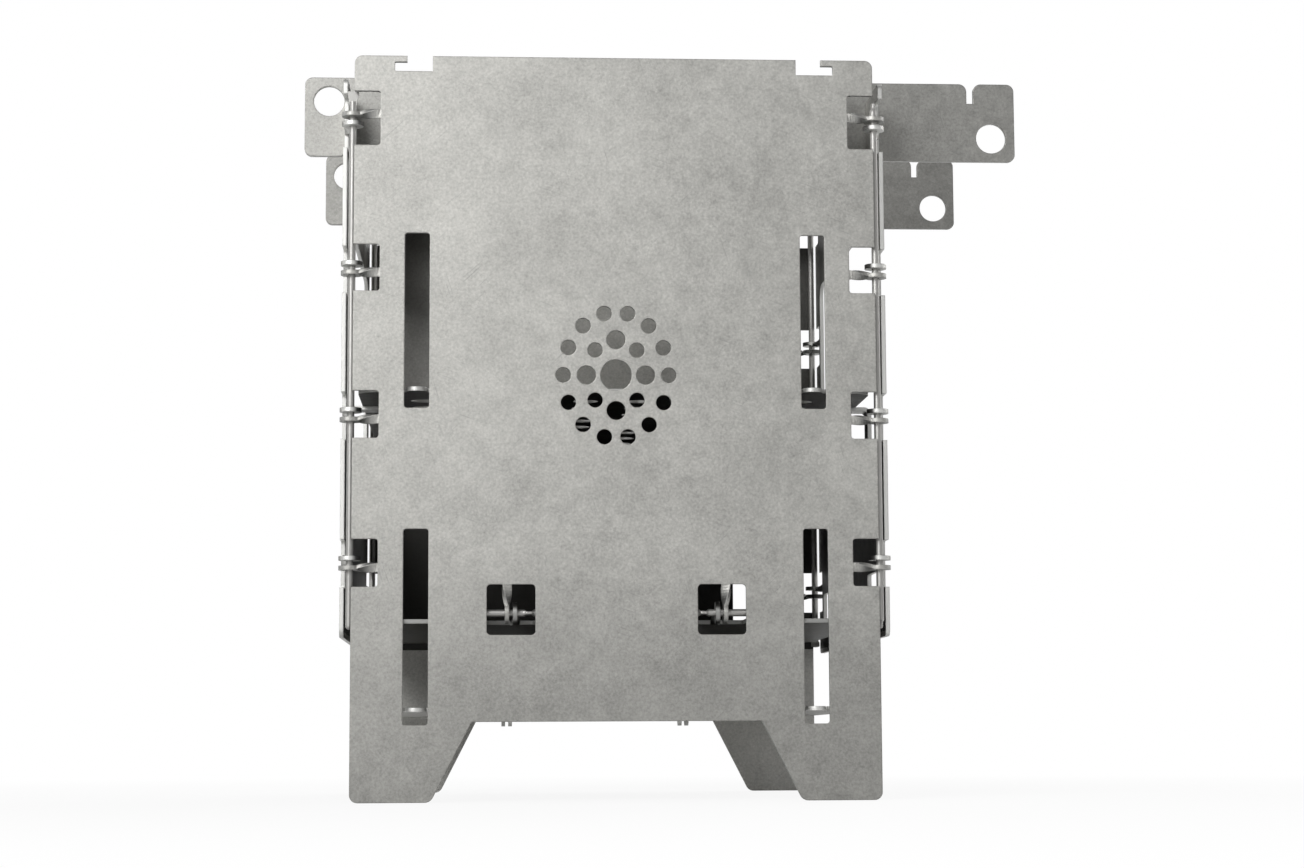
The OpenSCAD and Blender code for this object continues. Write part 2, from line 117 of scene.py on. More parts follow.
def rod_section(steps, length, pinches):
    """Half width, half thickness and power of the section at each step.

    The half width grows from the wire's radius to the pinch's own, and the
    half thickness shrinks, as the pinch weight goes from 0 to 1. At both ends
    the two shrink like a quarter circle. The power is 2 over n, where n grows
    from 2, a circle, to 3.4, a squarer oval.
    """
    weight = np.zeros_like(steps)
    for middle, pinch_length in pinches:
        weight = np.maximum(weight, pinch_weight(steps, middle, pinch_length))
    from_tip = np.minimum(steps, length - steps)
    shrink = np.sqrt(1 - np.clip(1 - from_tip / TIP_DOME, 0, 1) ** 2)
    wide = (WIRE_R + weight * (PINCH_HALF_WIDE - WIRE_R)) * shrink
    thin = (WIRE_R + weight * (PINCH_HALF_THIN - WIRE_R)) * shrink
    return wide, thin, 2 / (2 + PINCH_SQUARER * weight)


print("Pinch is", round(2 * PINCH_HALF_WIDE / MM, 2), "by", round(2 * PINCH_HALF_THIN / MM, 2), "mm")

# %% Skin of a rod
AROUND = 24
DOME_STEPS, BODY_STEPS, PINCH_STEPS = 6, 60, 18


def rod_steps(length, pinches):
    """Places along a rod, close together in its domed tips and its pinches."""
    dome = TIP_DOME * (1 - np.cos(np.linspace(0, math.pi / 2, DOME_STEPS)[1:]))
    body = np.linspace(TIP_DOME, length - TIP_DOME, BODY_STEPS)
    dense = [np.linspace(middle - size / 2 - PINCH_SHOULDER, middle + size / 2 + PINCH_SHOULDER,
                         PINCH_STEPS) for middle, size in pinches]
    steps = np.unique(np.round(np.concatenate([dome, body, length - dome, *dense]), 7))
    return steps[(steps > 0) & (steps < length)]


def pinched_rod(name, node, along_axis, wide_axis, pinches):
    """A rod along one axis in place of a node, pinched at places from its low end.

    The section is (a cos u, b sin u), a its half width and b its half
    thickness, with each cosine and sine raised to the section's power but
    keeping its sign.
    """
    low, high = (np.array(corner, float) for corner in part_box(node))
    middle = (low + high) / 2
    length = high[along_axis] - low[along_axis]
    steps = rod_steps(length, pinches)
    wide, thin, power = rod_section(steps, length, pinches)
    u = np.linspace(0, 2 * math.pi, AROUND, endpoint=False)
    thin_axis = 3 - along_axis - wide_axis
    rings = np.zeros((len(steps), AROUND, 3))
    rings[..., along_axis] = (low[along_axis] + steps)[:, None]
    for axis, half, wave in ((wide_axis, wide, np.cos(u)), (thin_axis, thin, np.sin(u))):
        rings[..., axis] = middle[axis] + half[:, None] * np.sign(wave) * np.abs(wave) ** power[:, None]
    faces_inwards = (wide_axis - along_axis) % 3 == 2
    if faces_inwards:
        rings = rings[:, ::-1]
    tips = np.stack([middle, middle])
    tips[:, along_axis] = low[along_axis], high[along_axis]
    piece = closed_skin(name, rings, *tips)
    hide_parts(node)
    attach(piece, "box")
    print(name, "is", round(length / MM, 1), "mm long with", len(pinches), "pinches")
    return piece


# %% [markdown]
# The three upright rods are pinched at both ends. The two rods of the hinged
# plates are pinched just inside their pairs of eyes. The pull rod keeps its
# solid from the model, because its head is a cut blade and not a pinch.

# %% Draw the rods
X_AXIS, Y_AXIS, Z_AXIS = 0, 1, 2
PINCH_LENGTH = 2.0 * MM
PINCH_FROM_MIDDLE = 23.8 * MM
upright_rods, cross_rods = [], []
for node, wide_axis in (("front_right_rod", Y_AXIS), ("back_left_rod", X_AXIS), ("back_right_rod", X_AXIS)):
    low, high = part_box(node)
    places = (PINCH_LENGTH / 2, high[Z_AXIS] - low[Z_AXIS] - PINCH_LENGTH / 2)
    upright_rods.append(pinched_rod(node + "_wire", node, Z_AXIS, wide_axis,
                                    [(place, PINCH_LENGTH) for place in places]))
for node in ("floor_rod", "ash_rod"):
    low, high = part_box(node)
    half_length = (high[X_AXIS] - low[X_AXIS]) / 2
    places = (half_length - PINCH_FROM_MIDDLE, half_length + PINCH_FROM_MIDDLE)
    cross_rods.append(pinched_rod(node + "_wire", node, X_AXIS, Y_AXIS,
                                  [(place, PINCH_LENGTH) for place in places]))

# %% [markdown]
# ## Helpers for node trees
# A material is a tree of small nodes. Writing each node out takes four or five
# lines, and most of them repeat, so a helper makes each common kind: it takes
# sockets or plain numbers alike and gives back the socket that comes out.

# %% Small helpers for node trees
def add_node(tree, kind, at, **settings):
    """Adds a node of the given kind at a place and sets its properties."""
    made = tree.nodes.new(kind)
    made.location = at
    for key, value in settings.items():
        setattr(made, key, value)
    return made


def feed(tree, sockets, **values):
    """Links each named socket to its value, or writes the value on the socket."""
    for label, value in values.items():
        socket = sockets[label.replace("_", " ")]
        if isinstance(value, bpy.types.NodeSocket):
            tree.links.new(value, socket)
        else:
            socket.default_value = value


def math_node(tree, operation, values, at, clamp=False):
    """A math node on up to three inputs, each a socket or a plain number."""
    made = add_node(tree, "ShaderNodeMath", at, operation=operation, use_clamp=clamp)
    for socket, value in zip(made.inputs, values):
        if isinstance(value, bpy.types.NodeSocket):
            tree.links.new(value, socket)
        else:
            socket.default_value = value
    return made.outputs[0]


def vector_value(tree, operation, vectors, at):
    """The dot product of two vectors, or the length of one."""
    made = add_node(tree, "ShaderNodeVectorMath", at, operation=operation)
    for socket, vector in zip(made.inputs, vectors):
        tree.links.new(vector, socket)
    return made.outputs["Value"]


def noise_node(tree, vector, scale, detail, at, roughness=0.6):
    """Noise at a scale in features per metre."""
    made = add_node(tree, "ShaderNodeTexNoise", at)
    feed(tree, made.inputs, Vector=vector, Scale=scale, Detail=detail, Roughness=roughness)
    return made.outputs["Fac"]


def range_node(tree, value, start, end, at, to=(0.0, 1.0)):
    """A smooth step of a value from start to end, stretched to the range given."""
    made = add_node(tree, "ShaderNodeMapRange", at, interpolation_type="SMOOTHSTEP")
    feed(tree, made.inputs, Value=value, From_Min=start, From_Max=end, To_Min=to[0], To_Max=to[1])
    return made.outputs["Result"]


def mix_node(tree, factor, first, second, at, kind="RGBA", blend="MIX"):
    """The first value, going over to the second as the factor goes from 0 to 1."""
    made = add_node(tree, "ShaderNodeMix", at, data_type=kind, blend_type=blend)
    feed(tree, made.inputs, Factor=factor, A=first, B=second)
    return made.outputs["Result"]


def coordinates(tree, at):
    """The outputs of a Texture Coordinate node."""
    return add_node(tree, "ShaderNodeTexCoord", at).outputs


# %% Helpers for shared groups
def new_group(name, inputs, outputs):
    """A shader group with named inputs and float outputs, and its inner ends.

    An input whose first value is a tuple is a vector, and any other a float.
    """
    tree = bpy.data.node_groups.new(name, "ShaderNodeTree")
    for label, value in inputs.items():
        kind = "NodeSocketVector" if isinstance(value, tuple) else "NodeSocketFloat"
        tree.interface.new_socket(label, in_out="INPUT", socket_type=kind).default_value = value
    for label in outputs:
        tree.interface.new_socket(label, in_out="OUTPUT", socket_type="NodeSocketFloat")
    entry = add_node(tree, "NodeGroupInput", (-1500, 0))
    leave = add_node(tree, "NodeGroupOutput", (900, 0))
    return tree, entry.outputs, leave.inputs


def place_group(tree, group, at, **values):
    """Places a shared group in a material, sets its inputs, and gives its outputs."""
    made = add_node(tree, "ShaderNodeGroup", at, node_tree=group)
    feed(tree, made.inputs, **values)
    return made.outputs


# %% [markdown]
# ## Shared finish: cloudy satin steel
# Tumbled stainless sheet has soft clouds some two centimetres wide, a finer
# mottle like orange peel, and specks the size of a pinhead. All three come
# from noise at three scales, summed into one tone. One shader group holds
# them, so each piece can ask for its own strengths.

# %% The cloud group
# Each noise: the input that sets its strength, features per metre, detail, roughness.
CLOUD_NOISES = (("Clouds", 48.0, 4.0, 0.6), ("Mottle", 230.0, 6.0, 0.8), ("Specks", 1300.0, 3.0, 0.8))


def cloud_group():
    """Tone is 1 plus clouds, mottle and specks, each centred on zero times its strength.

    Rough is the mottle again, centred on zero, for the roughness, and Height
    is the mottle plus the specks, for a faint bump.
    """
    tree, entry, leave = new_group("satin_clouds", {"Clouds": 0.2, "Mottle": 0.15, "Specks": 0.1},
                                   ("Tone", "Rough", "Height"))
    place = coordinates(tree, (-1200, -300))["Object"]
    noises, total = {}, 1.0
    for row, (label, scale, detail, roughness) in enumerate(CLOUD_NOISES):
        high = 300 - 300 * row
        noises[label] = noise_node(tree, place, scale, detail, (-900, high), roughness)
        centred = math_node(tree, "SUBTRACT", (noises[label], 0.5), (-650, high))
        scaled = math_node(tree, "MULTIPLY", (centred, entry[label]), (-450, high))
        total = math_node(tree, "ADD", (scaled, total), (-200, high))
    feed(tree, leave, Tone=total,
         Rough=math_node(tree, "SUBTRACT", (noises["Mottle"], 0.5), (200, -100)),
         Height=math_node(tree, "ADD", (noises["Mottle"], noises["Specks"]), (200, -300)))
    return tree


clouds = cloud_group()
print("Cloud group has", len(clouds.nodes), "nodes")

# %% [markdown]
# ## Shared finish: fine scratches
# Handling leaves hair scratches that run every way over a sheet. Noise that is
# stretched along one direction gives a bundle of streaks; keeping only its
# peaks leaves thin lines, and a second, larger noise lets them show here and
# there. The streaks must lie in the sheet, so the group first works out where
# a point is across and up the sheet, and turns each bundle in that plane.

# %% The scratch group
STREAK_TURNS = (0.35, -0.75, 1.25)
STREAK_SCALE = (90.0, 2600.0, 1.0)
STREAK_PEAKS = (14.0, -9.2)
PATCH_SCALE, PATCH_SCALE_STEP = 70.0, 25.0
PATCH_PEAKS = (6.0, -3.0)


def scratch_group():
    """Mask is the peaks of three stretched flat noises, each faded by a patchy noise."""
    tree, entry, leave = new_group(
        "hair_scratches", {"Across": (1.0, 0.0, 0.0), "Up": (0.0, 0.0, 1.0), "Amount": 0.5}, ("Mask",))
    place = coordinates(tree, (-1500, -300))["Object"]
    flat = add_node(tree, "ShaderNodeCombineXYZ", (-1100, 0))
    feed(tree, flat.inputs, X=vector_value(tree, "DOT_PRODUCT", (place, entry["Across"]), (-1300, 100)),
         Y=vector_value(tree, "DOT_PRODUCT", (place, entry["Up"]), (-1300, -100)))
    both = 0.0
    for row, angle in enumerate(STREAK_TURNS):
        high = 500 - 500 * row
        turned = add_node(tree, "ShaderNodeVectorRotate", (-900, high), rotation_type="Z_AXIS")
        feed(tree, turned.inputs, Vector=flat.outputs["Vector"], Angle=angle)
        drawn = add_node(tree, "ShaderNodeMapping", (-700, high))
        feed(tree, drawn.inputs, Vector=turned.outputs["Vector"],
             Location=(2.3 * row, 1.7 * row, 0.0), Scale=STREAK_SCALE)
        streaks = noise_node(tree, drawn.outputs["Vector"], 1.0, 1.0, (-500, high), 0.4)
        peaks = math_node(tree, "MULTIPLY_ADD", (streaks, *STREAK_PEAKS), (-300, high), clamp=True)
        patches = noise_node(tree, place, PATCH_SCALE + PATCH_SCALE_STEP * row, 2.0, (-500, high - 200), 0.5)
        faded = math_node(tree, "MULTIPLY_ADD", (patches, *PATCH_PEAKS), (-300, high - 200), clamp=True)
        bundle = math_node(tree, "MULTIPLY", (peaks, faded), (-100, high))
        both = math_node(tree, "MAXIMUM", (bundle, both), (150, high))
    feed(tree, leave, Mask=math_node(tree, "MULTIPLY", (both, entry["Amount"]), (400, 0)))
    return tree


scratches = scratch_group()
print("Scratch group has", len(scratches.nodes), "nodes")

# %% [markdown]
# ## Shared finish: bright cut edges
# The faces of the sheet are dulled by rolling and tumbling, but a laser leaves
# its cut edges bright. A cut edge is wherever the surface turns away from the
# sheet's own facing, so the group compares the surface's direction with the
# facing that it is given. Painting the edges by hand would take a mask for
# every hole; the direction test finds them all.

# %% The cut edge group
FACE_LEAN, EDGE_LEAN = 0.97, 0.55


def cut_edge_group():
    """Mask is 1 where the direction lies across the sheet's facing, 0 on its faces."""
    tree, entry, leave = new_group("cut_edges", {"Facing": (0.0, 1.0, 0.0)}, ("Mask",))
    direction = coordinates(tree, (-900, -200))["Normal"]
    along = vector_value(tree, "DOT_PRODUCT", (direction, entry["Facing"]), (-600, 0))
    lean = math_node(tree, "ABSOLUTE", (along,), (-350, 0))
    feed(tree, leave, Mask=range_node(tree, lean, FACE_LEAN, EDGE_LEAN, (0, 0)))
    return tree


cut_edges = cut_edge_group()
print("Cut edge group has", len(cut_edges.nodes), "nodes")


# %% [markdown]
# ## Shared finish: soot and painted shade
# Above the floor plate the inner faces are painted black: soot from the embers
# and painted shade, as little light gets inside the box. The black fades out
# above the grate, or higher on the side walls, which lie nearest to the
# flames. Painted shade also darkens the corners, where the light can't reach.
# The black lies only on faces that look inwards, so the group takes the
# direction of the fire, and its edge is broken up by noise so that it doesn't
# end in a line.

# %% The soot group
INWARDS_STEP = (2.5, -0.5)
RAGGED = 30 * MM
# The corner term is painted shade, darkest nearest the side walls.
CORNER_START, CORNER_FULL, CORNER_SHARE = 38 * MM, 62 * MM, 0.85


def soot_and_shade_group():
    """Mask is inwards times the larger of two painted darkenings.

    One is a band of heights, full from Low to High and gone at Fade: soot and
    painted shade. The other is painted shade in the corners: it grows with the
    distance from the middle, across.
    """
    tree, entry, leave = new_group(
        "soot_and_shade", {"Inwards": (0.0, 1.0, 0.0), "Across": (1.0, 0.0, 0.0), "Low": 46 * MM, "High": 98 * MM,
                 "Fade": 128 * MM, "Amount": 1.0}, ("Mask",))
    where = coordinates(tree, (-1200, -300))
    facing = vector_value(tree, "DOT_PRODUCT", (where["Normal"], entry["Inwards"]), (-900, 300))
    inside = math_node(tree, "MULTIPLY_ADD", (facing, *INWARDS_STEP), (-700, 300), clamp=True)
    height = add_node(tree, "ShaderNodeSeparateXYZ", (-900, -300))
    feed(tree, height.inputs, Vector=where["Object"])
    ragged = noise_node(tree, where["Object"], 45.0, 5.0, (-900, -500), 0.65)
    shift = math_node(tree, "MULTIPLY_ADD", (ragged, RAGGED, -RAGGED / 2), (-700, -500))
    level = math_node(tree, "ADD", (height.outputs["Z"], shift), (-500, -400))
    below = range_node(tree, level, entry["High"], entry["Fade"], (-250, -300), to=(1.0, 0.0))
    over = math_node(tree, "GREATER_THAN", (height.outputs["Z"], entry["Low"]), (-250, 0))
    band = math_node(tree, "MULTIPLY", (below, over), (0, -100))
    side = vector_value(tree, "DOT_PRODUCT", (where["Object"], entry["Across"]), (-900, 600))
    from_middle = math_node(tree, "ABSOLUTE", (side,), (-650, 600))
    # Painted shade in the corners of the box.
    corner = range_node(tree, from_middle, CORNER_START, CORNER_FULL, (-450, 600), to=(0.0, CORNER_SHARE))
    painted_corner_shade = math_node(tree, "MULTIPLY", (corner, over), (-50, 450))
    laid = math_node(tree, "MAXIMUM", (band, painted_corner_shade), (100, 300))
    mask = math_node(tree, "MULTIPLY", (laid, inside), (250, 100))
    feed(tree, leave, Mask=math_node(tree, "MULTIPLY", (mask, entry["Amount"]), (400, 0)))
    return tree


soot_and_shade = soot_and_shade_group()
print("Soot group has", len(soot_and_shade.nodes), "nodes")


# %% [markdown]
# ## Steel for each sheet
# Every sheet is the same steel, but the walls face different ways, and the
# plates are darker with soot from the fire and with painted shade. One
# function places the four groups in a material, with the sheet's facing and
# tone, and keeps the shader itself in the material so that it can be
# exported. A Bevel node rounds the worn edges in the shading alone, because
# a real arris of half a millimetre would need thousands of faces round the
# holes.

# %% Helpers for materials
def empty_material(name):
    """A material with an empty node tree."""
    material = bpy.data.materials.new(name)
    material.use_nodes = True
    material.node_tree.nodes.clear()
    return material, material.node_tree


def grey_of(level, tint):
    """A colour: the level times each part of the tint."""
    return tuple(level * part for part in tint) + (1.0,)


def bump_of(tree, height, strength, distance, at):
    """A bump node on a height, with its depth in metres."""
    made = add_node(tree, "ShaderNodeBump", at)
    feed(tree, made.inputs, Strength=strength, Distance=distance, Height=height)
    return made


def finish_metal(tree, colour, rough, normal):
    """Ends a tree with a metal shader on the three sockets given."""
    shader = add_node(tree, "ShaderNodeBsdfPrincipled", (100, 200))
    feed(tree, shader.inputs, Metallic=1.0, Base_Color=colour, Roughness=rough, Normal=normal)
    out = add_node(tree, "ShaderNodeOutputMaterial", (400, 200))
    feed(tree, out.inputs, Surface=shader.outputs["BSDF"])


# %% Sheet steel material
STEEL_TINT = (1.0, 0.99, 0.94)
SCRATCH_TINT = (0.62, 0.62, 0.6)
EDGE_TINT = (1.0, 1.0, 0.97)
# Black for the soot and painted shade on the inner faces.
SOOT_AND_SHADE_BLACK = (0.035, 0.034, 0.032, 1.0)
# Heights over which the painted shade at a sheet's foot fades out.
FOOT_START, FOOT_END = 15 * MM, 85 * MM
SOOT_AND_SHADE_FADE = 35 * MM
EDGE_ROUGH = 0.50
ROUGH_SPREAD = 0.35
WORN_EDGE = 0.45 * MM


def sheet_steel(name, plane, inwards, tone, rough, edge_tone, cloud=0.42, mottle=0.50, specks=0.9,
                scratch=0.5, soot_and_shade_share=0.95, foot=1.0, soot_and_shade_top=98 * MM):
    """Satin steel: tone times the clouds, darker scratches, bright cut edges,
    soot and painted shade inside.

    The plane is the sheet's facing and the two directions that lie in it.
    Foot is the share of the tone that is left at the sheet's foot, a painted
    shade near the ground, and the tone comes back to full by the height FOOT_END.
    """
    facing, across, up = plane
    material, tree = empty_material(name)
    cover = place_group(tree, clouds, (-1100, 300), Clouds=cloud, Mottle=mottle, Specks=specks)
    hair = place_group(tree, scratches, (-1100, 0), Across=across, Up=up, Amount=scratch)["Mask"]
    edge = place_group(tree, cut_edges, (-1100, -250), Facing=facing)["Mask"]
    # Soot and painted shade on the inner faces, and painted shade in the corners.
    black = place_group(tree, soot_and_shade, (-1100, -500), Inwards=inwards, Across=across, High=soot_and_shade_top,
                        Fade=soot_and_shade_top + SOOT_AND_SHADE_FADE, Amount=soot_and_shade_share)["Mask"]
    height = add_node(tree, "ShaderNodeSeparateXYZ", (-1300, 550))
    feed(tree, height.inputs, Vector=coordinates(tree, (-1500, 550))["Object"])
    # Painted shade: the tone falls towards the foot of the sheet.
    painted_foot_shade = range_node(tree, height.outputs["Z"], FOOT_START, FOOT_END, (-1100, 550), to=(foot, 1.0))
    shade = math_node(tree, "MULTIPLY", (cover["Tone"], painted_foot_shade), (-950, 450))
    colour = mix_node(tree, 1.0, grey_of(tone, STEEL_TINT), shade, (-800, 300), blend="MULTIPLY")
    colour = mix_node(tree, hair, colour, grey_of(tone, SCRATCH_TINT), (-550, 300))
    colour = mix_node(tree, edge, colour, grey_of(edge_tone, EDGE_TINT), (-300, 300))
    # The inner faces go black with soot and painted shade.
    colour = mix_node(tree, black, colour, SOOT_AND_SHADE_BLACK, (-100, 300))
    dull = math_node(tree, "MULTIPLY_ADD", (cover["Rough"], ROUGH_SPREAD, rough), (-550, 0))
    polish = mix_node(tree, edge, dull, EDGE_ROUGH, (-300, 0), kind="FLOAT")
    worn = add_node(tree, "ShaderNodeBevel", (-550, -450), samples=4)
    feed(tree, worn.inputs, Radius=WORN_EDGE)
    bump = bump_of(tree, cover["Height"], 0.12, 0.2 * MM, (-300, -300))
    feed(tree, bump.inputs, Normal=worn.outputs["Normal"])
    finish_metal(tree, colour, polish, bump.outputs["Normal"])
    return material


# %% [markdown]
# The front wall's facing is front to back, a side wall's is left to right, and
# a plate's is up and down. The bars stand on edge like the front wall but are
# a shade darker in the photograph, and the rear bar's lower tone is painted
# shade. The walls darken a little towards their feet, which is painted shade,
# and the floor plate, which carries the fire, is nearly black with soot and
# painted shade.

# %% Dress the sheets
FRONT_BACK = ((0.0, 1.0, 0.0), (1.0, 0.0, 0.0), (0.0, 0.0, 1.0))
LEFT_RIGHT = ((1.0, 0.0, 0.0), (0.0, 1.0, 0.0), (0.0, 0.0, 1.0))
UP_DOWN = ((0.0, 0.0, 1.0), (1.0, 0.0, 0.0), (0.0, 1.0, 0.0))
TO_BACK, TO_FRONT = (0.0, 1.0, 0.0), (0.0, -1.0, 0.0)
TO_RIGHT, TO_LEFT = (1.0, 0.0, 0.0), (-1.0, 0.0, 0.0)
UPWARDS, DOWNWARDS = (0.0, 0.0, 1.0), (0.0, 0.0, -1.0)
SIDE_WALL = dict(plane=LEFT_RIGHT, tone=0.45, rough=0.44, edge_tone=0.72, foot=0.9, soot_and_shade_top=145 * MM)
BAR = dict(plane=FRONT_BACK, inwards=TO_BACK, rough=0.45, cloud=0.34, mottle=0.46, soot_and_shade_share=0.0)
SHEETS = {
    "front_wall": dict(plane=FRONT_BACK, inwards=TO_BACK, tone=0.47, rough=0.52, edge_tone=0.42, foot=0.77),
    "back_wall": dict(plane=FRONT_BACK, inwards=TO_FRONT, tone=0.43, rough=0.44, edge_tone=0.42),
    "left_wall": dict(SIDE_WALL, inwards=TO_RIGHT),
    "right_wall": dict(SIDE_WALL, inwards=TO_LEFT),
    # The floor plate's near-black tone is soot and painted shade deep in the box.
    "floor_plate": dict(plane=UP_DOWN, inwards=UPWARDS, tone=0.11, rough=0.50, edge_tone=0.36, cloud=0.40,
                        scratch=0.6),
    "ash_plate": dict(plane=UP_DOWN, inwards=UPWARDS, tone=0.38, rough=0.46, edge_tone=0.70, cloud=0.30,
                      scratch=0.6, soot_and_shade_share=0.0),
    # The grate's dark tone is soot and painted shade inside the box.
    "fire_grate": dict(plane=UP_DOWN, inwards=DOWNWARDS, tone=0.22, rough=0.50, edge_tone=0.55, cloud=0.40,
                       scratch=0.6, soot_and_shade_share=0.9),
    "front_bar": dict(BAR, tone=0.38, edge_tone=0.50),
    # The rear bar is the same steel as the front bar; its lower tone is painted shade.
    "rear_bar": dict(BAR, tone=0.29, edge_tone=0.42),
}


def dress(piece, material):
    """Gives a piece one material in place of what it had."""
    piece.data.materials.clear()
    piece.data.materials.append(material)


for node, recipe in SHEETS.items():
    dress(nodes[node], sheet_steel(node + "_steel", **recipe))
print("Dressed sheets:", ", ".join(SHEETS))

# %% [markdown]
# ## Steel for the wire
# Drawn wire is smoother than the sheet, with fine lines along its length from
# the die. The lines are noise stretched along the wire; a pinch and years of
# turning in the eyes leave small dull patches.

# %% Wire material
WIRE_GREY = (0.43, 0.425, 0.41, 1.0)
LINES_ALONG, LINES_ACROSS = 60.0, 2600.0


def wire_steel(name, along):
    """Mid grey wire with fine lines along the wire's own direction."""
    material, tree = empty_material(name)
    drawn = add_node(tree, "ShaderNodeMapping", (-900, 0))
    feed(tree, drawn.inputs, Vector=coordinates(tree, (-1100, 0))["Object"],
         Scale=[LINES_ALONG if axis == along else LINES_ACROSS for axis in range(3)])
    lines = noise_node(tree, drawn.outputs["Vector"], 1.0, 3.0, (-700, 0), 0.6)
    cover = place_group(tree, clouds, (-900, 350), Clouds=0.25, Mottle=0.35, Specks=0.1)
    colour = mix_node(tree, 1.0, WIRE_GREY, cover["Tone"], (-450, 300), blend="MULTIPLY")
    rough = math_node(tree, "MULTIPLY_ADD", (lines, 0.22, 0.36), (-450, 0))
    bump = bump_of(tree, lines, 0.15, 0.1 * MM, (-450, -250))
    finish_metal(tree, colour, rough, bump.outputs["Normal"])
    return material


upright_wire = wire_steel("upright_wire_steel", Z_AXIS)
cross_wire = wire_steel("cross_wire_steel", X_AXIS)
for rod in upright_rods + [nodes["pull_rod"]]:
    dress(rod, upright_wire)
for rod in cross_rods:
    dress(rod, cross_wire)
print("Dressed rods:", len(upright_rods) + len(cross_rods) + 1)

# %% [markdown]
# ## White ground
# The photograph is cut out on white. The ground is one sheet that curves up
# into a wall far behind the stove, so there is no corner line. The camera sees
# it as white, the steel mirrors a small share of that white, and the paper's
# own grey still catches the soft shadow.

# %% Ground that sweeps up into a backdrop
def sweep_ground(name):
    """A floor that turns up behind: a straight run, a quarter circle, a rise.

    The profile runs from the front at y = -front to y = back, turns through
    90 degrees on a circle of radius bend, and rises to the height. The
    same profile is carried from side to side along x.
    """
    front, back, bend, height, half_wide = 3.0, 2.2, 0.8, 3.0, 4.0
    run, turn, rise, columns = 11, 24, 6, 9
    angle = np.linspace(0, math.pi / 2, turn)
    y = np.concatenate([np.linspace(-front, back, run + 1)[:-1], back + bend * np.sin(angle),
                        np.full(rise, back + bend)])
    z = np.concatenate([np.zeros(run), bend * (1 - np.cos(angle)),
                        np.linspace(bend, height, rise + 1)[1:]])
    x = np.linspace(-half_wide, half_wide, columns)
    points = np.stack(np.broadcast_arrays(x[:, None], y, z), axis=-1)
    i, j = np.meshgrid(np.arange(columns - 1), np.arange(len(y) - 1), indexing="ij")
    corner = i * len(y) + j
    quads = np.stack([corner, corner + len(y), corner + len(y) + 1, corner + 1], axis=-1).reshape(-1, 4)
    mesh = bpy.data.meshes.new(name)
    mesh.from_pydata(points.reshape(-1, 3).tolist(), [], quads.tolist())
    mesh.shade_smooth()
    made = bpy.data.objects.new(name, mesh)
    bpy.context.scene.collection.objects.link(made)
    return made


ground = sweep_ground("ground")
print("Ground has", len(ground.data.polygons), "faces")

# %% Paper on the ground
GROUND_IN_STEEL = 0.12
SHADOW_START, SHADOW_END, SHADOW_WHITE = 0.12, 0.55, 0.9
PAPER_GREYS = (0.80, 0.86)


def ground_paper():
    """White to the camera, pale grey paper to the light, a little white to the steel.

    The share of white grows from 0.9 beside the stove to 1 at the distance
    where its shadow ends, so only the shadow's own ground takes any shade.
    """
    material, tree = empty_material("ground_paper")
    place = coordinates(tree, (-900, -100))["Object"]
    tint = add_node(tree, "ShaderNodeValToRGB", (-450, -100))
    for stop, grey in zip(tint.color_ramp.elements, PAPER_GREYS):
        stop.color = grey_of(grey, (1.0, 1.0, 1.0))
    feed(tree, tint.inputs, Fac=noise_node(tree, place, 300.0, 3.0, (-700, -100)))
    paper = add_node(tree, "ShaderNodeBsdfPrincipled", (-100, -100))
    feed(tree, paper.inputs, Roughness=0.9, Specular_IOR_Level=0.1, Base_Color=tint.outputs["Color"])
    glow = add_node(tree, "ShaderNodeEmission", (-100, 150))
    feed(tree, glow.inputs, Color=(1.0, 1.0, 1.0, 1.0))
    path = add_node(tree, "ShaderNodeLightPath", (-900, 400)).outputs
    glossy = math_node(tree, "MULTIPLY", (path["Is Glossy Ray"], GROUND_IN_STEEL), (-750, 550))
    seen = math_node(tree, "MAXIMUM", (path["Is Camera Ray"], glossy), (-600, 400))
    seen = math_node(tree, "MAXIMUM", (seen, path["Is Transmission Ray"]), (-400, 400))
    away = vector_value(tree, "LENGTH", (place,), (-650, 150))
    white = range_node(tree, away, SHADOW_START, SHADOW_END, (-450, 150), to=(SHADOW_WHITE, 1.0))
    share = math_node(tree, "MULTIPLY", (seen, white), (-200, 400))
    blend = add_node(tree, "ShaderNodeMixShader", (150, 100))
    feed(tree, blend.inputs, Fac=share)
    tree.links.new(paper.outputs["BSDF"], blend.inputs[1])
    tree.links.new(glow.outputs["Emission"], blend.inputs[2])
    out = add_node(tree, "ShaderNodeOutputMaterial", (400, 100))
    feed(tree, out.inputs, Surface=blend.outputs["Shader"])
    return material


ground.data.materials.append(ground_paper())
print("Ground is papered with", ground.data.materials[0].name)

# %% [markdown]
# ## Studio air
# Metal shows what surrounds it. The world is white to the camera, as the
# photograph is cut out on white, but a studio isn't white all round: the
# steel mirrors a third of it, less towards the sides, where dark flags stand.
# Their reflection gives the wire its dark outlines.

# %% World
AIR_IN_STEEL = 0.3
AIR_AS_LIGHT = 0.2
FLAG_START, FLAG_FULL, FLAG_SHARE = 0.72, 0.97, 0.25


